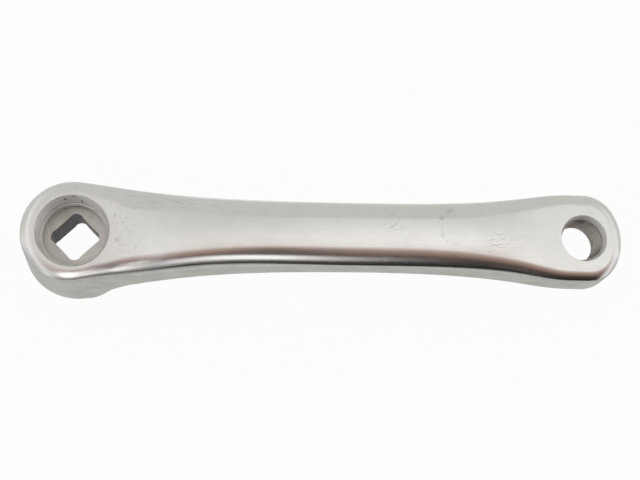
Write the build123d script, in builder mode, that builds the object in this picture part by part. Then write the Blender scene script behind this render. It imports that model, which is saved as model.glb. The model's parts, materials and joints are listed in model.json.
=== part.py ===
from build123d import *
import os
from math import cos, radians, sin, sqrt, tan

# Bicycle crank arm for the left side, with a square spindle socket, forged in one piece
# Millimetres. Origin on the spindle axis at the hub's inner face.
# +X runs along the arm to the pedal eye, +Z points outward, away from the bicycle.

# Hub
hub_height = 24.7
hub_radius = 16.85
hub_band = 4.4
hub_back_round = 2.5
boss_margin = 0.2
web_thickness = 17.2
web_blend = 4.0
rim_land = 0.8

# Arm, bowed outward and waisted, each rise counted from the hub's outer face,
# each band the width of the outer edge's rounding where it meets the side wall
crank_length = 170.0
draft_angle = 4.5
flank_angle = 84.0
root_share = 0.177
root_half_width = 13.25
root_band = 6.0
root_rise = 2.3
root_thickness = 15.6
waist_share = 0.54
waist_half_width = 10.75
waist_band = 6.4
waist_rise = 7.4
waist_thickness = 13.6
shoulder_setback = 20.0
shoulder_half_width = 13.4
shoulder_band = 5.2
front_round = 8.5
back_round = 5.0

# Pedal end
eye_rise = 9.2
eye_thickness = 13.9
eye_half_width = 14.95
eye_band = 4.0
eye_flat_setback = 4.0
eye_reach = 13.0
eye_tip_bulge = 7.9
eye_corner_radius = 11.0

# Recess for the extractor tool, threaded M22 x 1, with the bolt's washer seat at its floor
recess_mouth_radius = 12.2
recess_lead_radius = 11.3
recess_lead_depth = 4.5
extractor_thread_radius = 11.0
seat_depth = 8.9

# Square tapered socket, its diagonals along and across the arm, narrowest at the seat
socket_side = 12.5
socket_corner_radius = 2.4
socket_relief = 0.12
socket_taper = 2.0
socket_chamfer = 0.5

# Pedal thread, 9/16 inch x 20, with a long lead-in on the outer side
pedal_thread_radius = 7.144
pedal_mouth_radius = 7.9
pedal_lead_depth = 2.6
pedal_back_chamfer = 0.5

# Heights and positions that follow from the sizes above
draft_slope = tan(radians(draft_angle))
root_front = hub_height + root_rise
waist_front = hub_height + waist_rise
eye_front = hub_height + eye_rise
eye_back = eye_front - eye_thickness
web_back = hub_height - web_thickness
seat_height = hub_height - seat_depth
socket_spread = seat_height * tan(radians(socket_taper))
root_position = root_share * crank_length
waist_position = waist_share * crank_length
shoulder_position = crank_length - shoulder_setback
boss_radius = hub_radius + hub_height * draft_slope + boss_margin
rim_end = recess_mouth_radius + rim_land
boss_wall = web_back - hub_back_round
side_margin = 2 * boss_radius


def plan_outline(height, reach):
    """Plan at a height, grown by the draft, and by a reach of 1 to where the front rounding would end."""
    hub = hub_radius + (hub_height - height) * draft_slope + reach * (front_round - hub_band)
    root = root_half_width + (root_front - height) * draft_slope + reach * (front_round - root_band)
    waist = waist_half_width + (waist_front - height) * draft_slope + reach * (front_round - waist_band)
    eye_draft = (eye_front - height) * draft_slope
    shoulder = shoulder_half_width + eye_draft + reach * (front_round - shoulder_band)
    eye_gain = eye_draft + reach * (front_round - eye_band)
    eye = eye_half_width + eye_gain
    tip = crank_length + eye_reach + eye_gain
    leave_x = hub * cos(radians(flank_angle))
    leave_y = hub * sin(radians(flank_angle))
    with BuildSketch(Plane.XY.offset(height)) as plan:
        with BuildLine():
            flank = Spline(
                (crank_length - eye_flat_setback, eye),
                (shoulder_position, shoulder),
                (waist_position, waist),
                (root_position, root),
                (leave_x, leave_y),
                tangents=[(-1, 0), (-leave_y, leave_x)],
            )
            Line((tip - eye_tip_bulge, eye), flank @ 0)
            mirror(about=Plane.XZ)
            ThreePointArc((tip - eye_tip_bulge, -eye), (tip, 0), (tip - eye_tip_bulge, eye))
            ThreePointArc((leave_x, leave_y), (-hub, 0), (leave_x, -leave_y))
        make_face()
        fillet(plan.vertices().group_by(Axis.X)[-1], radius=eye_corner_radius + eye_gain)
    return plan.sketch


def socket_outline(height, spread):
    """Square hole at a height, with corners relieved past its flats, grown by a spread on each side."""
    half_side = socket_side / 2 + spread
    corner_position = (half_side + socket_relief - socket_corner_radius) * sqrt(2)
    with BuildSketch(Plane.XY.offset(height)) as socket:
        RectangleRounded(2 * half_side, 2 * half_side, socket_corner_radius, rotation=45)
        with PolarLocations(corner_position, 4):
            Circle(socket_corner_radius)
    return socket.sketch


with BuildPart() as crank_arm:
    # Side outline: flat rim at the hub, outward bow along the arm, flat pedal eye
    with BuildSketch(Plane.XZ.offset(-side_margin)):
        with BuildLine():
            front = Spline(
                (rim_end, hub_height),
                (root_position, root_front),
                (waist_position, waist_front),
                (shoulder_position, eye_front),
                tangents=[(1, 0), (1, 0)],
            )
            back = Spline(
                (shoulder_position, eye_back),
                (waist_position, waist_front - waist_thickness),
                (root_position, root_front - root_thickness),
                (0, web_back),
                tangents=[(-1, 0), (-1, 0)],
            )
            Polyline(
                front @ 1,
                (crank_length + side_margin, eye_front),
                (crank_length + side_margin, eye_back),
                back @ 0,
            )
            Polyline(
                back @ 1,
                (-side_margin, web_back),
                (-side_margin, hub_height),
                front @ 0,
            )
        make_face()
    extrude(amount=2 * side_margin)

    # Outer edge, rounded on a wider plan so that the side walls cut it off at a crisp edge
    loft(
        [plan_outline(0, 1), plan_outline(eye_front + front_round, 1)],
        ruled=True,
        mode=Mode.INTERSECT,
    )
    rims = crank_arm.edges().filter_by(GeomType.LINE, reverse=True)
    outer_rim = rims.filter_by_position(Axis.Z, hub_height - rim_land, eye_front + rim_land)
    fillet(outer_rim, radius=front_round)

    # Hub boss behind the arm, blended into the arm's inner side
    with BuildSketch():
        Circle(boss_radius)
    extrude(amount=hub_height - front_round)
    fillet(crank_arm.edges(Select.NEW), radius=min(web_blend, boss_wall))

    # Side walls with draft, widest at the inner side
    loft(
        [plan_outline(0, 0), plan_outline(eye_front + front_round, 0)],
        ruled=True,
        mode=Mode.INTERSECT,
    )

    # Rounded inner edge all along the arm, rounded hub back
    inner_rim = crank_arm.edges().filter_by_position(Axis.Z, 0, eye_back).sort_by(SortBy.LENGTH)[-1]
    fillet(inner_rim, radius=min(back_round, boss_wall))
    fillet(crank_arm.faces().sort_by(Axis.Z)[0].edges(), radius=hub_back_round)

    # Extractor recess with the washer seat
    with BuildSketch(Plane.XZ):
        with BuildLine():
            Polyline(
                (0, seat_height),
                (extractor_thread_radius, seat_height),
                (extractor_thread_radius, hub_height - recess_lead_depth),
                (recess_lead_radius, hub_height - recess_lead_depth),
                (recess_mouth_radius, hub_height),
                (0, hub_height),
                close=True,
            )
        make_face()
    revolve(axis=Axis.Z, mode=Mode.SUBTRACT)

    # Square socket, widening towards the inner face, with a chamfered mouth there
    loft(
        [socket_outline(0, socket_spread), socket_outline(seat_height, 0)],
        ruled=True,
        mode=Mode.SUBTRACT,
    )
    loft(
        [socket_outline(0, socket_spread + socket_chamfer), socket_outline(socket_chamfer, socket_spread)],
        ruled=True,
        mode=Mode.SUBTRACT,
    )

    # Pedal eye
    with BuildSketch(Plane.XZ):
        with BuildLine():
            Polyline(
                (crank_length, eye_back),
                (crank_length + pedal_thread_radius + pedal_back_chamfer, eye_back),
                (crank_length + pedal_thread_radius, eye_back + pedal_back_chamfer),
                (crank_length + pedal_thread_radius, eye_front - pedal_lead_depth),
                (crank_length + pedal_mouth_radius, eye_front),
                (crank_length, eye_front),
                close=True,
            )
        make_face()
    revolve(axis=Axis((crank_length, 0, 0), (0, 0, 1)), mode=Mode.SUBTRACT)

crank_arm.part.label = "crank_arm"

os.makedirs("parts", exist_ok=True)
export_step(crank_arm.part, "parts/crank_arm.step")
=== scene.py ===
import json
import math

import bmesh
import bpy
import numpy as np
from mathutils import Matrix, Vector
from mathutils.geometry import delaunay_2d_cdt


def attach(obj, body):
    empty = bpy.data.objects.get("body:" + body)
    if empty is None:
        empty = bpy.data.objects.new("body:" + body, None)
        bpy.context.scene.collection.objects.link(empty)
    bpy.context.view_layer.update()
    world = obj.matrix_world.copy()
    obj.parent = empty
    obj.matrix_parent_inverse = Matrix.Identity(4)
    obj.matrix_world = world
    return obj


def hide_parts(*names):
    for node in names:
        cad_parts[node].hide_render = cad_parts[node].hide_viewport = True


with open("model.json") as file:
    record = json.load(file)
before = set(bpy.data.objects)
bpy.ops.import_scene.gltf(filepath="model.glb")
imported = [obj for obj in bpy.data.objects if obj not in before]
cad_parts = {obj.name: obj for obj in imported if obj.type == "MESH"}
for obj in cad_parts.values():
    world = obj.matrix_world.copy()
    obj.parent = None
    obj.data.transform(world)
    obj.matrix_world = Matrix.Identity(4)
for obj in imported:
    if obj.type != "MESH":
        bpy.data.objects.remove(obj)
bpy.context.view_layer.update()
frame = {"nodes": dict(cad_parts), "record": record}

# Sizes from the frame, in metres
MM = 0.001
mounts = {mount["name"]: mount for mount in frame["record"]["mounts"]}
EYE = Vector(mounts["pedal_thread"]["pos_m"]).x
EYE_FRONT = mounts["pedal_seat"]["pos_m"][2]
SEAT = mounts["washer_seat"]["pos_m"][2]
RECESS_RADIUS = mounts["extractor_thread"]["dims"]["r_mm"] * MM
BORE_RADIUS = mounts["pedal_thread"]["dims"]["r_mm"] * MM

# Sizes of the hub, the recess and the pedal hole that the record doesn't give
RECESS_MOUTH = 12.2 * MM
RECESS_LEAD = 4.5 * MM
HUB_FRONT = 24.7 * MM
BORE_MOUTH = 7.9 * MM
BORE_LEAD = 2.6 * MM
BORE_CHAMFER = 0.5 * MM
EYE_BACK = 20.0 * MM

# Margin for comparing places
TINY = 0.001 * MM


def add_piece(name, build, materials, smooth_angle=None):
    """New mesh object from a function that fills a bmesh."""
    mesh = bpy.data.meshes.new(name)
    shape = bmesh.new()
    build(shape)
    shape.to_mesh(mesh)
    shape.free()
    for material in materials:
        mesh.materials.append(material)
    mesh.polygons.foreach_set("use_smooth", [True] * len(mesh.polygons))
    if smooth_angle is not None:
        mesh.set_sharp_from_angle(angle=smooth_angle)
    piece = bpy.data.objects.new(name, mesh)
    bpy.context.collection.objects.link(piece)
    return piece


def opaque(colour):
    """Colour with full alpha."""
    return (*colour, 1.0)


def grey(value, warm=0.0):
    """Grey of a value, made warmer by a share."""
    return (value * (1 + warm), value, value * (1 - warm))


class Graph:
    """Short way to add and link shader nodes."""

    def __init__(self, tree):
        self.tree = tree
        tree.nodes.clear()

    def add(self, kind, settings=None, **inputs):
        """New node, its inputs given by name or by an underscore and a number."""
        node = self.tree.nodes.new(kind)
        for key, value in (settings or {}).items():
            setattr(node, key, value)
        for key, value in inputs.items():
            self.put(node.inputs[int(key[1:])] if key[0] == "_" else node.inputs[key], value)
        return node

    def put(self, socket, value):
        """Links a socket to another one, or sets its constant."""
        if isinstance(value, bpy.types.NodeSocket):
            self.tree.links.new(value, socket)
        else:
            socket.default_value = value

    def math(self, operation, a, b=0.0):
        return self.add("ShaderNodeMath", {"operation": operation}, _0=a, _1=b).outputs[0]

    def vector(self, operation, a, b):
        return self.add("ShaderNodeVectorMath", {"operation": operation}, _0=a, _1=b).outputs[0]

    def apart(self, a, b):
        """Distance between two values."""
        return self.math("ABSOLUTE", self.math("SUBTRACT", a, b))

    def product(self, *masks):
        """Product of masks or plain values."""
        result = masks[0]
        for mask in masks[1:]:
            result = self.math("MULTIPLY", result, mask)
        return result

    def band(self, value, low, high, to_low=0.0, to_high=1.0):
        """Smooth step between two values."""
        settings = {"interpolation_type": "SMOOTHSTEP"}
        node = self.add("ShaderNodeMapRange", settings, _0=value, _1=low, _2=high, _3=to_low, _4=to_high)
        return node.outputs[0]

    def fall(self, value, low, high, top=1.0):
        """Smooth step down to 0."""
        return self.band(value, low, high, top, 0.0)

    def noise(self, vector, scale, detail=3.0, rough=0.6):
        node = self.add("ShaderNodeTexNoise", _0=vector, Scale=scale, Detail=detail, Roughness=rough)
        return node.outputs[0]

    def mix(self, factor, a, b):
        node = self.add("ShaderNodeMix", {"data_type": "RGBA"})
        self.put(node.inputs["Factor"], factor)
        self.put(node.inputs["A"], a)
        self.put(node.inputs["B"], b)
        return node.outputs["Result"]

    def ramp(self, value, stops):
        """Colour by a value between 0 and 1, from pairs of place and colour."""
        node = self.add("ShaderNodeValToRGB", _0=value)
        points = node.color_ramp.elements
        while len(points) < len(stops):
            points.new(0.5)
        for point, (place, colour) in zip(points, stops):
            point.position = place
            point.color = opaque(colour)
        return node.outputs[0]


# Grain of the metal: noise scales per metre, the part of each noise that shows, relief and worn edges
BLOTCH_SCALE = 130.0
BLOTCH_BAND = (0.35, 0.75)
STREAK_BAND = (0.45, 0.80)
STREAK_SHARE = 0.35
GRAIN_SCALE = 2600.0
SCRATCH_BAND = (0.58, 0.63)
RELIEF = 0.02 * MM
EDGE_BREAK = 0.25 * MM
EDGE_SAMPLES = 4

# Waver of a ring: noise scale per metre, and width in millimetres
WAVER_SCALE = 260.0
RING_WAVER = 2.0


class Metal(Graph):
    """Metal surface, blotched between two colours, with fine grain and streaks stretched along the axes."""

    def __init__(self, name, colour, dull, roughness, spread, streaks, bump, grain=0.0):
        self.material = bpy.data.materials.new(name)
        self.material.use_nodes = True
        super().__init__(self.material.node_tree)
        self.place = self.add("ShaderNodeTexCoord").outputs["Object"]
        self.x, self.y, _ = self.add("ShaderNodeSeparateXYZ", _0=self.place).outputs
        blotch = self.noise(self.place, BLOTCH_SCALE, detail=4.0)
        stretched = self.vector("MULTIPLY", self.place, streaks)
        streak = self.noise(stretched, scale=1.0, detail=5.0, rough=0.65)
        self.tone = self.mix(self.band(blotch, *BLOTCH_BAND), opaque(colour), opaque(dull))
        self.tone = self.mix(self.band(streak, *STREAK_BAND, 0.0, STREAK_SHARE), self.tone, opaque(dull))
        self.rough = self.math("ADD", roughness - spread / 2, self.product(streak, spread))
        self.normal = self.add("ShaderNodeBevel", {"samples": EDGE_SAMPLES}, Radius=EDGE_BREAK).outputs[0]
        self.dent(streak, bump)
        if grain:
            self.dent(self.noise(self.place, GRAIN_SCALE, detail=2.0), grain)

    def dent(self, height, strength):
        """Relief from a height between 0 and 1."""
        inputs = {"Strength": strength, "Distance": RELIEF, "Height": height, "Normal": self.normal}
        self.normal = self.add("ShaderNodeBump", **inputs).outputs[0]

    def spots(self, scale, low, high, detail=3.0, rough=0.6):
        """Mask of spots where a noise is high."""
        return self.band(self.noise(self.place, scale, detail, rough), low, high)

    def patch(self, centre, half, soft):
        """Mask that is 1 inside a rectangle in plan, in millimetres."""
        mask = 1.0
        for axis, middle, reach in zip((self.x, self.y), centre, half):
            distance = self.apart(axis, middle * MM)
            mask = self.product(mask, self.fall(distance, (reach - soft) * MM, (reach + soft) * MM))
        return mask

    def ring(self, centre, radius, width):
        """Mask of a thin wavering circle in plan, in millimetres."""
        offset = self.vector("SUBTRACT", self.place, (centre[0] * MM, centre[1] * MM, 0))
        flat = self.vector("MULTIPLY", offset, (1, 1, 0))
        away = self.add("ShaderNodeVectorMath", {"operation": "LENGTH"}, _0=flat).outputs["Value"]
        waver = self.product(self.noise(self.place, WAVER_SCALE), RING_WAVER * MM)
        distance = self.apart(self.math("ADD", away, waver), (radius + RING_WAVER / 2) * MM)
        return self.fall(distance, width * MM / 2, width * MM)

    def scratches(self, heading, run, fineness):
        """Mask of thin lines running at an angle to the arm, in degrees."""
        inputs = {"_0": self.place, "Angle": math.radians(-heading)}
        along = self.add("ShaderNodeVectorRotate", {"rotation_type": "Z_AXIS"}, **inputs).outputs[0]
        stretched = self.vector("MULTIPLY", along, (run, fineness, 0))
        return self.band(self.noise(stretched, scale=1.0, detail=2.0), *SCRATCH_BAND)

    def stain(self, mask, colour, share=1.0):
        """A share of a colour where a mask is 1."""
        self.tone = self.mix(self.product(mask, share), self.tone, opaque(colour))

    def roughen(self, mask, more):
        """More roughness where a mask is 1."""
        self.rough = self.math("ADD", self.rough, self.product(mask, more))

    def finish(self, metallic=1.0, specular=0.5):
        inputs = {"Metallic": metallic, "Specular IOR Level": specular, "Base Color": self.tone}
        inputs.update({"Roughness": self.rough, "Normal": self.normal})
        shader = self.add("ShaderNodeBsdfPrincipled", **inputs)
        self.add("ShaderNodeOutputMaterial", _0=shader.outputs[0])
        return self.material


# Colours of the wear marks
SPECK = (0.45, 0.43, 0.40)
DIRT = (0.36, 0.35, 0.33)
SCRATCH = (0.38, 0.37, 0.35)
SCRAPE = (0.5, 0.5, 0.48)
RUST = (0.20, 0.10, 0.06)

# Scratched patches of the outer face: heading in degrees, centre and half size in millimetres
SCRATCHED = (
    (12, (143.0, -1.0), (6.0, 3.0)),
    (-25, (140.0, -2.0), (4.0, 3.0)),
    (35, (108.0, 3.0), (4.0, 5.0)),
)

# Stretch of the arm over which the dullness round the hub fades
HUB_DULL = (4 * MM, 24 * MM)

# Worn polish of the outer face, duller round the hub, with specks all over it
metal = Metal(
    "polished", (0.89, 0.885, 0.87), (0.85, 0.845, 0.83),
    roughness=0.16, spread=0.06, streaks=(60, 900, 900), bump=0.06, grain=0.7,
)
metal.roughen(metal.fall(metal.x, *HUB_DULL), more=0.10)
metal.stain(metal.spots(scale=1500.0, low=0.70, high=0.76, detail=1.0), SPECK, share=0.35)

# Pits beside the recess, a round scuff, scratches towards the eye and a scrape near the far edge
pits = metal.spots(scale=700.0, low=0.53, high=0.72, detail=5.0, rough=0.7)
pits = metal.product(pits, metal.patch(centre=(17.5, 2.5), half=(7.0, 8.5), soft=4.0))
metal.stain(pits, DIRT, share=0.32)
metal.roughen(pits, more=0.2)
scuff = metal.ring(centre=(127.0, 3.0), radius=6.0, width=0.9)
scuff = metal.product(scuff, metal.patch(centre=(122.5, 2.5), half=(4.5, 7.0), soft=1.5))
scuff = metal.product(scuff, metal.spots(scale=600.0, low=0.40, high=0.60))
metal.stain(scuff, DIRT, share=0.3)
for heading, centre, half in SCRATCHED:
    lines = metal.scratches(heading, run=200.0, fineness=2200.0)
    metal.stain(metal.product(lines, metal.patch(centre, half, soft=1.5)), SCRATCH, share=0.3)
scrape = metal.scratches(heading=-8, run=140.0, fineness=1800.0)
scrape = metal.product(scrape, metal.patch(centre=(32.0, 10.5), half=(16.0, 2.5), soft=2.0))
metal.stain(scrape, SCRAPE, share=0.4)
polished = metal.finish()

# Side walls and forged back
metal = Metal(
    "satin", (0.46, 0.464, 0.428), (0.37, 0.373, 0.343),
    roughness=0.45, spread=0.16, streaks=(90, 1400, 1400), bump=0.35,
)
satin = metal.finish()

# Strip along the outer edge
metal = Metal(
    "ground", (0.62, 0.625, 0.59), (0.52, 0.525, 0.495),
    roughness=0.42, spread=0.16, streaks=(90, 1400, 1400), bump=0.35,
)
ground = metal.finish()

# Turned recess and lead-in of the pedal hole, with specks of rust at the recess's far rim
metal = Metal(
    "turned", (0.84, 0.825, 0.80), (0.70, 0.685, 0.65),
    roughness=0.56, spread=0.16, streaks=(300, 300, 5000), bump=0.25,
)
rust = metal.spots(scale=700.0, low=0.59, high=0.66, detail=2.0)
metal.stain(metal.product(rust, metal.patch(centre=(0.5, 11.7), half=(4.0, 0.9), soft=0.4)), RUST)
turned = metal.finish()

# Broached socket, painted near black and not metallic as the shade deep inside it
metal = Metal(
    "broached", (0.055, 0.052, 0.048), (0.02, 0.019, 0.018),
    roughness=0.45, spread=0.20, streaks=(1700, 1700, 120), bump=0.6,
)
broached = metal.finish(metallic=0.0, specular=0.1)

# Tapped pedal hole
metal = Metal(
    "tapped", (0.56, 0.53, 0.49), (0.32, 0.30, 0.27),
    roughness=0.45, spread=0.20, streaks=(400, 400, 900), bump=0.4,
)
tapped = metal.finish()
FINISHES = [polished, satin, ground, turned, broached, tapped]


def finish_of(face):
    """Which finish a facet of the solid takes, by its place."""
    centre = face.calc_center_median()
    from_hub = math.hypot(centre.x, centre.y)
    from_eye = math.hypot(centre.x - EYE, centre.y)
    if from_hub < RECESS_MOUTH and SEAT - TINY < centre.z < HUB_FRONT - TINY:
        return FINISHES.index(turned)
    # The socket's walls take the finish painted dark as its shade
    if from_hub < RECESS_RADIUS and TINY < centre.z < SEAT:
        return FINISHES.index(broached)
    if from_eye < BORE_MOUTH and EYE_BACK + TINY < centre.z < EYE_FRONT - TINY:
        return FINISHES.index(tapped if centre.z < EYE_FRONT - BORE_LEAD else turned)
    return FINISHES.index(satin)


# Outer side: bow along the arm as place and height in millimetres, slight crown across it
BOW = ((13.0, 24.7), (30.1, 27.0), (91.8, 32.1), (150.0, 33.9))
CROWN = 0.004
CROWN_START = (16.0, 45.0)
CROWN_STOP = (135.0, 160.0)
FRONT_DEPTH = 3.0 * MM
FRONT_FACING = 0.5
SLOPE_STEP = 0.05 * MM

# Rounding of the outer side out to the side walls, widened by place along the arm in millimetres
FRONT_ROUND = 9.0 * MM
ROUND_WIDTHS = ((-20.0, 1.15), (8.0, 1.35), (18.0, 1.45), (30.0, 1.25), (50.0, 1.15))
ROUND_EASE = 1.4
EDGE_LEAN = 0.6
ROUND_ROWS = 14
MOUTH_MARGIN = 0.3 * MM

# Ground strip along the near side's outer edge, its width by place along the arm in millimetres
STRIP_WIDTHS = (
    (-17.0, 0.2), (-8.0, 0.2), (0.0, 0.6), (12.0, 1.4), (28.0, 1.25), (42.0, 1.3), (70.0, 0.75),
    (90.0, 0.45), (110.0, 0.6), (130.0, 0.9), (148.0, 0.9), (160.0, 0.5), (174.0, 0.5), (182.0, 0.2),
)
STRIP_ROWS = 4
STRIP_LIFT = 0.65
STRIP_CRISP = 4
STRIP_TURN = (-0.3, 0.5)
STRIP_SHOWN = 0.5
FAR_STRIP = 0.1

# Lift of the normals in the lead-in of each hole, whose lip is worn round
RECESS_LIP = 0.85
BORE_LIP = 0.6

# Mesh steps of the outer side, and the angle up to which the other facets are smoothed
EDGE_STEP = 0.9 * MM
INNER_STEP = 2.2 * MM
MERGE_GAP = 1e-9
SMOOTH_LIMIT = math.cos(math.radians(30))


def clamped_spline(points):
    """Smooth curve through points, level at both ends and beyond them."""
    xs = np.array([point[0] for point in points])
    zs = np.array([point[1] for point in points])
    gaps = np.diff(xs)
    rises = np.diff(zs) / gaps
    size = len(points)
    system = np.eye(size)
    target = np.zeros(size)
    for k in range(1, size - 1):
        system[k, k - 1:k + 2] = 1 / gaps[k - 1], 2 / gaps[k - 1] + 2 / gaps[k], 1 / gaps[k]
        target[k] = 3 * (rises[k - 1] / gaps[k - 1] + rises[k] / gaps[k])
    slopes = np.linalg.solve(system, target)

    def value(x):
        x = min(max(x, xs[0]), xs[-1])
        k = min(int(np.searchsorted(xs, x, side="right")) - 1, size - 2)
        t = (x - xs[k]) / gaps[k]
        lead = (1 + 2 * t) * (1 - t) ** 2 * zs[k] + t * t * (3 - 2 * t) * zs[k + 1]
        return lead + gaps[k] * (t * (1 - t) ** 2 * slopes[k] + t * t * (t - 1) * slopes[k + 1])

    return value


bow = clamped_spline(BOW)
strip_width = clamped_spline(STRIP_WIDTHS)
round_widen = clamped_spline(ROUND_WIDTHS)


def ease(value, low, high):
    """Smooth step from 0 to 1 between two values."""
    t = min(max((value - low) / (high - low), 0.0), 1.0)
    return t * t * (3 - 2 * t)


def front_height(x, y):
    """Height of the outer face without its rounding, in metres."""
    x, y = x / MM, y / MM
    crown = CROWN * ease(x, *CROWN_START) * (1 - ease(x, *CROWN_STOP))
    return (bow(x) - crown * y * y) * MM


def front_normal(x, y, out=(0, 0), lean=0.0):
    """Normal of the outer face at a place, leaning outward by its rounding's slope."""
    step = SLOPE_STEP
    along = (front_height(x + step, y) - front_height(x - step, y)) / (2 * step)
    across = (front_height(x, y + step) - front_height(x, y - step)) / (2 * step)
    return Vector((out[0] * lean - along, out[1] * lean - across, 1)).normalized()


def is_front(face):
    return face.normal.z > FRONT_FACING and face.calc_center_median().z > HUB_FRONT - FRONT_DEPTH


def open_loops(shape):
    """Vertices of each open rim of a mesh, in order."""
    rim = {}
    for edge in shape.edges:
        if edge.is_boundary:
            for vertex in edge.verts:
                rim.setdefault(vertex, []).append(edge.other_vert(vertex))
    loops = []
    while rim:
        loop = [next(iter(rim))]
        while True:
            onward = [vertex for vertex in rim.pop(loop[-1]) if vertex in rim]
            if not onward:
                break
            loop.append(onward[0])
        loops.append(loop)
    return loops


def loop_reach(loop):
    """Reach of a rim along the arm."""
    places = [vertex.co.x for vertex in loop]
    return max(places) - min(places)


def refine_loop(shape, loop):
    """Adds vertices along a closed rim, on a smooth curve through its own vertices."""
    spots = [vertex.co.copy() for vertex in loop]
    count = len(loop)
    ways = []
    for k in range(count):
        before, here, after = spots[k - 1], spots[k], spots[(k + 1) % count]
        a, b = (here - before).length, (after - here).length
        ways.append(((here - before) / a * b + (after - here) / b * a) / (a + b))
    fine = []
    for k in range(count):
        following = (k + 1) % count
        fine.append(loop[k])
        length = (spots[following] - spots[k]).length
        parts = max(1, math.ceil(length / EDGE_STEP))
        edge = shape.edges.get((loop[k], loop[following]))
        last = loop[k]
        for part in range(1, parts):
            t = part / parts
            spot = spots[k] * ((1 + 2 * t) * (1 - t) ** 2) + spots[following] * (t * t * (3 - 2 * t))
            spot += (ways[k] * (t * (1 - t) ** 2) + ways[following] * (t * t * (t - 1))) * length
            edge, vertex = bmesh.utils.edge_split(edge, last, 1 / (parts - part + 1))
            vertex.co = spot
            edge = shape.edges.get((vertex, loop[following]))
            last = vertex
            fine.append(vertex)
    return fine


def lay_front(shape, normals):
    """Replaces the outer face by a fine sheet between the crisp edge and the two mouths."""
    bmesh.ops.delete(shape, geom=[face for face in shape.faces if is_front(face)], context="FACES_ONLY")
    loops = sorted(open_loops(shape), key=loop_reach)
    mouths, edge = loops[:-1], refine_loop(shape, loops[-1])
    count = len(edge)
    turn = sum(a.co.x * b.co.y - b.co.x * a.co.y for a, b in zip(edge, edge[1:] + edge[:1]))
    if turn < 0:
        edge.reverse()
    rows = [[] for _ in range(STRIP_ROWS + ROUND_ROWS + 1)]
    sides = []
    for k, vertex in enumerate(edge):
        ahead, behind = edge[(k + 1) % count].co, edge[k - 1].co
        a, b = (vertex.co - behind).length, (ahead - vertex.co).length
        way = (vertex.co - behind) / a * b + (ahead - vertex.co) / b * a
        out = Vector((way.y, -way.x)).normalized()
        sides.append(ease(-out.y, *STRIP_TURN))
        for row, (spot, normal) in zip(rows, rounding(vertex, out, sides[-1])):
            row.append(shape.verts.new(spot) if row is not rows[0] else vertex)
            normals[row[-1]] = normal
    sheet = []
    for number, (outer, inner) in enumerate(zip(rows, rows[1:])):
        for k in range(count):
            following = (k + 1) % count
            face = shape.faces.new((outer[k], outer[following], inner[following], inner[k]))
            in_strip = number < STRIP_ROWS and sides[k] > STRIP_SHOWN
            face.material_index = FINISHES.index(ground if in_strip else polished)
            sheet.append(face)
    sheet += fill_front(shape, rows[-1], mouths, normals)
    return sheet


def rounding(vertex, out, side):
    """Places and normals from a vertex of the outer edge in to the end of the rounding.

    The side is 1 on the near side, which has the strip, and 0 on the far side.
    """
    x, y, z = vertex.co
    drop = front_height(x, y) - z
    to_mouth = min(math.hypot(x, y) - RECESS_MOUTH, math.hypot(x - EYE, y) - BORE_MOUTH)
    width = round_widen(x / MM) * math.sqrt(drop * (2 * FRONT_ROUND - drop))
    width = min(width, to_mouth - MOUTH_MARGIN)
    strip = strip_width(x / MM) * MM * max(side, FAR_STRIP)
    wall = sum((face.normal for face in vertex.link_faces), Vector()).normalized()
    wall = (wall + Vector((0, 0, STRIP_LIFT))).normalized()
    ways_in = [strip * k / STRIP_ROWS for k in range(STRIP_ROWS)]
    ways_in += [strip + (width - strip) * k / ROUND_ROWS for k in range(ROUND_ROWS + 1)]
    for inward in ways_in:
        left = max(0.0, 1 - inward / width)
        spot = Vector((x - out.x * inward, y - out.y * inward, 0))
        spot.z = front_height(spot.x, spot.y) - drop * left ** (ROUND_EASE + 1)
        lean = EDGE_LEAN * min(1.0, left * width / (width - strip)) ** ROUND_EASE
        normal = front_normal(spot.x, spot.y, out, lean)
        if inward < strip:
            normal = normal.lerp(wall, side * (1 - (inward / strip) ** STRIP_CRISP)).normalized()
        yield spot, normal


def fill_front(shape, rim, mouths, normals):
    """Fills the nearly flat middle of the outer face around its two mouths."""
    corners = []
    joins = []
    for loop in [rim] + mouths:
        first = len(corners)
        corners += loop
        joins += [(first + k, first + (k + 1) % len(loop)) for k in range(len(loop))]
        for vertex in loop:
            normals[vertex] = front_normal(vertex.co.x, vertex.co.y)
    flat = [vertex.co.xy for vertex in corners]
    walls = [(flat[a], flat[b]) for a, b in joins]

    def inside(spot):
        crossed = 0
        for a, b in walls:
            if (a.y > spot.y) != (b.y > spot.y):
                crossed += spot.x < a.x + (spot.y - a.y) / (b.y - a.y) * (b.x - a.x)
        return crossed % 2 == 1

    low_x, high_x = min(spot.x for spot in flat), max(spot.x for spot in flat)
    half = max(spot.y for spot in flat)
    for i in range(int((high_x - low_x) / INNER_STEP) + 1):
        for j in range(int(2 * half / INNER_STEP) + 1):
            spot = Vector((low_x + i * INNER_STEP, -half + j * INNER_STEP))
            if inside(spot) and min((spot - other).length for other in flat) > INNER_STEP / 2:
                vertex = shape.verts.new((spot.x, spot.y, front_height(spot.x, spot.y)))
                normals[vertex] = front_normal(spot.x, spot.y)
                corners.append(vertex)
    places = [vertex.co.xy for vertex in corners]
    _, _, triangles, sources, _, _ = delaunay_2d_cdt(places, joins, [], 0, MERGE_GAP)
    sheet = []
    for triangle in triangles:
        three = [corners[sources[k][0]] for k in triangle]
        centre = sum((vertex.co.xy for vertex in three), Vector((0, 0))) / 3
        if inside(centre):
            face = shape.faces.new(three)
            face.material_index = FINISHES.index(polished)
            sheet.append(face)
    return sheet


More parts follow.
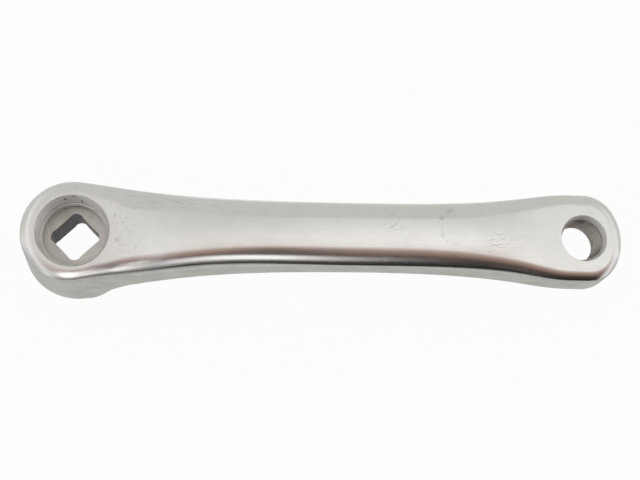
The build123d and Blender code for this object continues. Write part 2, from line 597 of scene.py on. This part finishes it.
def build_body():
    """Mesh of the arm: the solid's own walls, holes and back, with a finer outer face.

    Also gives the normals of the outer face's vertices, and which facets belong to it.
    """
    shape = bmesh.new()
    shape.from_mesh(frame["nodes"]["crank_arm"].data)
    bmesh.ops.remove_doubles(shape, verts=shape.verts, dist=TINY)
    for face in shape.faces:
        face.material_index = finish_of(face)
    normals = {}
    sheet = set(lay_front(shape, normals))
    split = [face for face in shape.faces if face not in sheet and len(face.verts) > 3]
    bmesh.ops.triangulate(shape, faces=split)
    shape.verts.index_update()
    shape.faces.index_update()
    fixed = {vertex.index: normal for vertex, normal in normals.items()}
    outer = {face.index for face in sheet}
    mesh = bpy.data.meshes.new("crank_body")
    shape.to_mesh(mesh)
    shape.free()
    return mesh, fixed, outer


def lip_lift(centre):
    """How far the normals of a facet are lifted for the worn lip of its hole."""
    from_hub = math.hypot(centre.x, centre.y)
    from_eye = math.hypot(centre.x - EYE, centre.y)
    if from_hub < RECESS_MOUTH and HUB_FRONT - RECESS_LEAD + TINY < centre.z < HUB_FRONT:
        return RECESS_LIP
    if from_eye < BORE_MOUTH and EYE_FRONT - BORE_LEAD < centre.z < EYE_FRONT:
        return BORE_LIP
    return 0.0


def corner_normals(mesh, fixed, outer):
    """Given normals on the outer face, elsewhere a mean by area of facets that meet at a gentle angle."""
    lies = [face.normal.copy() for face in mesh.polygons]
    areas = [face.area for face in mesh.polygons]
    around = [[] for _ in mesh.vertices]
    for face in mesh.polygons:
        if face.index not in outer:
            for vertex in face.vertices:
                around[vertex].append(face.index)
    found = []
    for face in mesh.polygons:
        lift = Vector((0, 0, lip_lift(face.center)))
        lie = lies[face.index]
        for vertex in face.vertices:
            if face.index in outer:
                found.append(fixed[vertex])
                continue
            near = [other for other in around[vertex] if lies[other].dot(lie) > SMOOTH_LIMIT]
            mean = sum((lies[other] * areas[other] for other in near), Vector()).normalized()
            found.append((mean + lift).normalized())
    return found


mesh, fixed, outer = build_body()
body = bpy.data.objects.new("crank_body", mesh)
bpy.context.collection.objects.link(body)
for material in FINISHES:
    mesh.materials.append(material)
mesh.polygons.foreach_set("use_smooth", [True] * len(mesh.polygons))
mesh.normals_split_custom_set(corner_normals(mesh, fixed, outer))
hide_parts("crank_arm")
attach(body, "root")

# Threads: sizes, hands, and how finely they are drawn
EXTRACTOR_PITCH = 1.0 * MM
EXTRACTOR_DEPTH = 0.54 * MM
PEDAL_PITCH = 1.27 * MM
PEDAL_DEPTH = 0.62 * MM
RIGHT_HAND = 1
LEFT_HAND = -1
THREAD_MARGIN = 0.15 * MM
THREAD_STEPS = 96
THREAD_SMOOTH = math.radians(25)
RUN_OUT_STEPS = THREAD_STEPS / 3

# Section of a ridge: sunk into the wall and just off it in millimetres, half widths as shares of the pitch
THREAD_SINK = 0.10
THREAD_FOOT = -0.02
SINK_HALF = 0.44
FOOT_HALF = 0.40
CREST_HALF = 0.07


def thread(name, centre_x, wall, depth, pitch, low, high, hand, material):
    """Helical ridge standing inward from a round wall, run out at both ends."""
    turns = (high - low) / pitch - 1.0
    count = int(turns * THREAD_STEPS)
    crest = -depth / MM
    section = (
        (THREAD_SINK, -SINK_HALF), (THREAD_FOOT, -FOOT_HALF), (crest, -CREST_HALF),
        (crest, CREST_HALF), (THREAD_FOOT, FOOT_HALF), (THREAD_SINK, SINK_HALF),
    )

    def build(shape):
        rings = []
        for step in range(count + 1):
            angle = hand * 2 * math.pi * step / THREAD_STEPS
            height = low + pitch * (0.5 + step / THREAD_STEPS)
            fade = min(1.0, step / RUN_OUT_STEPS, (count - step) / RUN_OUT_STEPS)
            ring = []
            for out, along in section:
                radius = wall + (out * fade if out < 0 else out) * MM
                x = centre_x + radius * math.cos(angle)
                y = radius * math.sin(angle)
                ring.append(shape.verts.new((x, y, height + along * pitch)))
            rings.append(ring)
        for near, far in zip(rings, rings[1:]):
            for k in range(len(section)):
                following = (k + 1) % len(section)
                shape.faces.new((near[k], near[following], far[following], far[k]))
        shape.faces.new(rings[0])
        shape.faces.new(rings[-1])
        bmesh.ops.recalc_face_normals(shape, faces=shape.faces)

    piece = add_piece(name, build, [material], THREAD_SMOOTH)
    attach(piece, "root")


thread(
    "extractor_thread_ridge", 0.0, RECESS_RADIUS, EXTRACTOR_DEPTH, EXTRACTOR_PITCH,
    low=SEAT + THREAD_MARGIN,
    high=HUB_FRONT - RECESS_LEAD - THREAD_MARGIN,
    hand=RIGHT_HAND,
    material=turned,
)
thread(
    "pedal_thread_ridge", EYE, BORE_RADIUS, PEDAL_DEPTH, PEDAL_PITCH,
    low=EYE_BACK + BORE_CHAMFER + THREAD_MARGIN,
    high=EYE_FRONT - BORE_LEAD - THREAD_MARGIN,
    hand=LEFT_HAND,
    material=tapped,
)

# White paper: mostly bright to the camera and in reflections, with a share left that takes the shadow
PAPER_BRIGHT = 0.96
paper = bpy.data.materials.new("paper")
paper.use_nodes = True
graph = Graph(paper.node_tree)
matt = graph.add("ShaderNodeBsdfDiffuse", Color=(1.0, 1.0, 1.0, 1.0)).outputs[0]
white = graph.add("ShaderNodeEmission", Strength=1.0).outputs[0]
ray = graph.add("ShaderNodeLightPath").outputs
mirrored = graph.math("ADD", ray["Is Glossy Ray"], ray["Is Transmission Ray"])
seen = graph.math("MINIMUM", graph.math("ADD", ray["Is Camera Ray"], mirrored), 1.0)
seen = graph.product(seen, PAPER_BRIGHT)
look = graph.add("ShaderNodeMixShader", _0=seen, _1=matt, _2=white).outputs[0]
graph.add("ShaderNodeOutputMaterial", _0=look)

# Floor under the two lowest places, where the arm rests on its hub and its eye
FLOOR_HALF = 1.5
FLOOR_GAP = 0.05 * MM
REST_DIGITS = 6
spots = [vertex.co for vertex in body.data.vertices]
hub_spots = [spot for spot in spots if spot.x < EYE / 2]
hub_rest = min(hub_spots, key=lambda spot: (round(spot.z, REST_DIGITS), -spot.x))
slope = min((spot.z - hub_rest.z) / (spot.x - hub_rest.x) for spot in spots if spot.x > EYE / 2)
floor_up = Vector((-slope, 0, 1)).normalized()


def build_floor(shape):
    corners = ((-1, -1), (1, -1), (1, 1), (-1, 1))
    shape.faces.new([shape.verts.new((FLOOR_HALF * x, FLOOR_HALF * y, 0)) for x, y in corners])


floor = add_piece("floor", build_floor, [paper])
floor.location = hub_rest - floor_up * FLOOR_GAP
floor.rotation_euler = floor_up.to_track_quat("Z", "Y").to_euler()

# Low round backdrop that closes the view past the floor's edge
BACKDROP_RADIUS = 1.3
BACKDROP_FOOT = -0.3
BACKDROP_TOP = 0.2
BACKDROP_SIDES = 72


def build_backdrop(shape):
    foot = []
    top = []
    for side in range(BACKDROP_SIDES):
        angle = 2 * math.pi * side / BACKDROP_SIDES
        x = EYE / 2 + BACKDROP_RADIUS * math.cos(angle)
        y = BACKDROP_RADIUS * math.sin(angle)
        foot.append(shape.verts.new((x, y, BACKDROP_FOOT)))
        top.append(shape.verts.new((x, y, BACKDROP_TOP)))
    for side in range(BACKDROP_SIDES):
        following = (side + 1) % BACKDROP_SIDES
        shape.faces.new((foot[side], top[side], top[following], foot[following]))


backdrop = add_piece("backdrop", build_backdrop, [paper])


class Studio(Graph):
    """Light by direction: tilt from overhead towards the near side, and reach along the arm from -1 to 1."""

    def __init__(self, tree):
        super().__init__(tree)
        direction = self.add("ShaderNodeTexCoord").outputs["Generated"]
        self.reach, across, height = self.add("ShaderNodeSeparateXYZ", _0=direction).outputs
        self.tilt = self.math("ARCTAN2", self.math("MULTIPLY", across, -1.0), height)

    def by_tilt(self, *stops):
        """Colour by tilt, from pairs of degrees and colour."""
        share = self.math("ADD", 0.5, self.math("DIVIDE", self.tilt, 2 * math.pi))
        return self.ramp(share, [(0.5 + degrees / 360, colour) for degrees, colour in stops])

    def by_reach(self, *stops):
        """Grey by reach, from pairs of reach and value."""
        share = self.math("ADD", 0.5, self.math("DIVIDE", self.reach, 2.0))
        return self.ramp(share, [(0.5 + reach / 2, grey(value)) for reach, value in stops])

    def past(self, start, stop):
        """Mask that rises from one tilt in degrees to another."""
        return self.band(self.tilt, math.radians(start), math.radians(stop))

    def until(self, start, stop):
        """Mask that falls from one tilt in degrees to another."""
        return self.fall(self.tilt, math.radians(start), math.radians(stop))

    def around(self, middle, half):
        """Mask of a stripe about a tilt in radians, its half width a soft range in degrees."""
        return self.fall(self.apart(self.tilt, middle), math.radians(half[0]), math.radians(half[1]))


# Lights and screen: soft ranges of tilt in degrees and of reach, shares and colours
GAIN_TILT = (-24, -17)

TALL_REACH = -0.52
TALL_HALF = (0.03, 0.08)
TALL_TILT = (-60, -35)
TALL_LIGHT = grey(1.1)

END_START = (0.45, 0.60)
END_STOP = (0.80, 0.98)
END_TILT = (-50, -25)
END_SHARE = 0.75
END_LIGHT = grey(0.92)

SCREEN_START = (-0.46, -0.30)
SCREEN_STOP = (0.58, 0.78)
SCREEN_TOP = (-11, -8)
SCREEN_FOOT = (62, 80)

STRIPE_REACH = -0.05
STRIPE_HALF = (0.03, 0.13)
STRIPE_TILT = (-8, 2)
STRIPE_SHARE = 0.75
STRIPE_LIGHT = grey(0.07)

TAIL_TILT = 42
TAIL_HALF = (4, 8)
TAIL_START = (-0.36, -0.22)
TAIL_STOP = (-0.14, -0.05)
TAIL_LIGHT = grey(0.33)

SLOT_TILT = 33.5
SLOT_TURN = 20
SLOT_BEND = -0.05
SLOT_HALF = (5, 11)
SLOT_START = (-0.42, -0.06)
SLOT_STOP = (0.01, 0.06)
SLOT_LIGHT = (1.3, 1.28, 1.26)

world = bpy.data.worlds.new("studio")
bpy.context.scene.world = world
world.use_nodes = True
studio = Studio(world.node_tree)

# Pale room, brightest overhead and uneven along the arm
room = studio.by_tilt(
    (-180, grey(0.60)), (-28, (0.58, 0.585, 0.56)), (-22, (0.585, 0.585, 0.565)), (-19, grey(0.70, 0.01)),
    (-16, grey(0.76, 0.01)), (-13.5, grey(0.86, 0.01)), (-11.5, grey(1.1, 0.01)), (-5, grey(1.12, 0.01)),
    (5, grey(0.76)), (20, grey(0.56)), (60, grey(0.56)), (180, grey(0.60)),
)
gain = studio.by_reach(
    (-1.0, 0.85), (-0.64, 0.85), (-0.40, 0.88), (-0.25, 0.89), (-0.13, 0.89), (-0.02, 0.93), (0.05, 1.04),
    (0.10, 1.09), (0.17, 1.08), (0.28, 0.97), (0.41, 1.04), (0.52, 0.93), (0.66, 0.85), (1.0, 0.85),
)
gain = studio.mix(studio.past(*GAIN_TILT), opaque(grey(1.0)), gain)
room = studio.vector("MULTIPLY", room, gain)

# Tall narrow light past the hub and a wide one past the eye
tall = studio.fall(studio.apart(studio.reach, TALL_REACH), *TALL_HALF)
tall = studio.product(tall, studio.past(*TALL_TILT))
room = studio.mix(tall, room, opaque(TALL_LIGHT))
end = studio.product(studio.band(studio.reach, *END_START), studio.fall(studio.reach, *END_STOP, END_SHARE))
end = studio.product(end, studio.past(*END_TILT))
room = studio.mix(end, room, opaque(END_LIGHT))

# Dark screen on the near side, with an evenly dark stripe down it
screen = studio.by_tilt(
    (-9, (0.80, 0.72, 0.65)), (-5, (0.55, 0.45, 0.41)), (0, (0.38, 0.285, 0.255)), (8, (0.29, 0.20, 0.165)),
    (18, (0.15, 0.10, 0.085)), (26, (0.055, 0.036, 0.03)), (42, (0.02, 0.018, 0.015)),
    (75, (0.02, 0.02, 0.018)), (95, grey(0.5)),
)
span = studio.product(studio.band(studio.reach, *SCREEN_START), studio.fall(studio.reach, *SCREEN_STOP))
span = studio.product(span, studio.past(*SCREEN_TOP), studio.until(*SCREEN_FOOT))
stripe = studio.fall(studio.apart(studio.reach, STRIPE_REACH), *STRIPE_HALF, STRIPE_SHARE)
stripe = studio.product(stripe, studio.past(*STRIPE_TILT))
screen = studio.mix(stripe, screen, opaque(STRIPE_LIGHT))
light = studio.mix(span, room, screen)

# Dim patch of light on the screen, towards the hub
tail = studio.around(math.radians(TAIL_TILT), TAIL_HALF)
tail = studio.product(tail, studio.band(studio.reach, *TAIL_START), studio.fall(studio.reach, *TAIL_STOP))
light = studio.mix(tail, light, opaque(TAIL_LIGHT))

# Bright slot in the screen, bent towards the hub
past_bend = studio.math("MINIMUM", studio.math("SUBTRACT", studio.reach, SLOT_BEND), 0.0)
middle = studio.math("ADD", studio.product(past_bend, math.radians(SLOT_TURN)), math.radians(SLOT_TILT))
slot = studio.around(middle, SLOT_HALF)
slot = studio.product(slot, studio.fall(studio.reach, *SLOT_STOP), studio.band(studio.reach, *SLOT_START))
light = studio.mix(slot, light, opaque(SLOT_LIGHT))
studio.add("ShaderNodeOutputWorld", _0=studio.add("ShaderNodeBackground", Color=light).outputs[0])

# Small card of light over the hub's near rim
CARD_AIM = Vector((0.0, -14.5, 24.3)) * MM
CARD_WAY = Vector((-0.16, -0.36, 0.92)).normalized()
CARD_AWAY = 60.0 * MM
CARD_WIDTH = 17.0 * MM
CARD_LENGTH = 28.0 * MM
CARD_ENERGY = 0.0023
card = bpy.data.lights.new("hub_card", "AREA")
card.shape = "RECTANGLE"
card.size = CARD_WIDTH
card.size_y = CARD_LENGTH
card.energy = CARD_ENERGY
lamp = bpy.data.objects.new("hub_card", card)
lamp.location = CARD_AIM + CARD_WAY * CARD_AWAY
lamp.rotation_euler = CARD_WAY.to_track_quat("Z", "Y").to_euler()
lamp.visible_camera = False
bpy.context.collection.objects.link(lamp)

# Camera at the photo's angle
CAMERA_PLACE = Vector((46.7, -84.4, 360.1)) * MM
CAMERA_VIEW = Vector((0.1009, 0.2403, -0.9654)).normalized()
CAMERA_UP = Vector((-0.0277, 0.9707, 0.2387))
CAMERA_SENSOR = 36.0
CAMERA_LENS = 58.236
CAMERA_NEAREST = 0.01
right = CAMERA_VIEW.cross(CAMERA_UP).normalized()
up = right.cross(CAMERA_VIEW)
camera = bpy.data.objects.new("camera", bpy.data.cameras.new("camera"))
camera.data.sensor_width = CAMERA_SENSOR
camera.data.lens = CAMERA_LENS
camera.data.clip_start = CAMERA_NEAREST
facing = Matrix((right, up, -CAMERA_VIEW)).transposed().to_4x4()
camera.matrix_world = Matrix.Translation(CAMERA_PLACE) @ facing
bpy.context.collection.objects.link(camera)
scene = bpy.context.scene
scene.camera = camera
scene.view_settings.view_transform = "Standard"
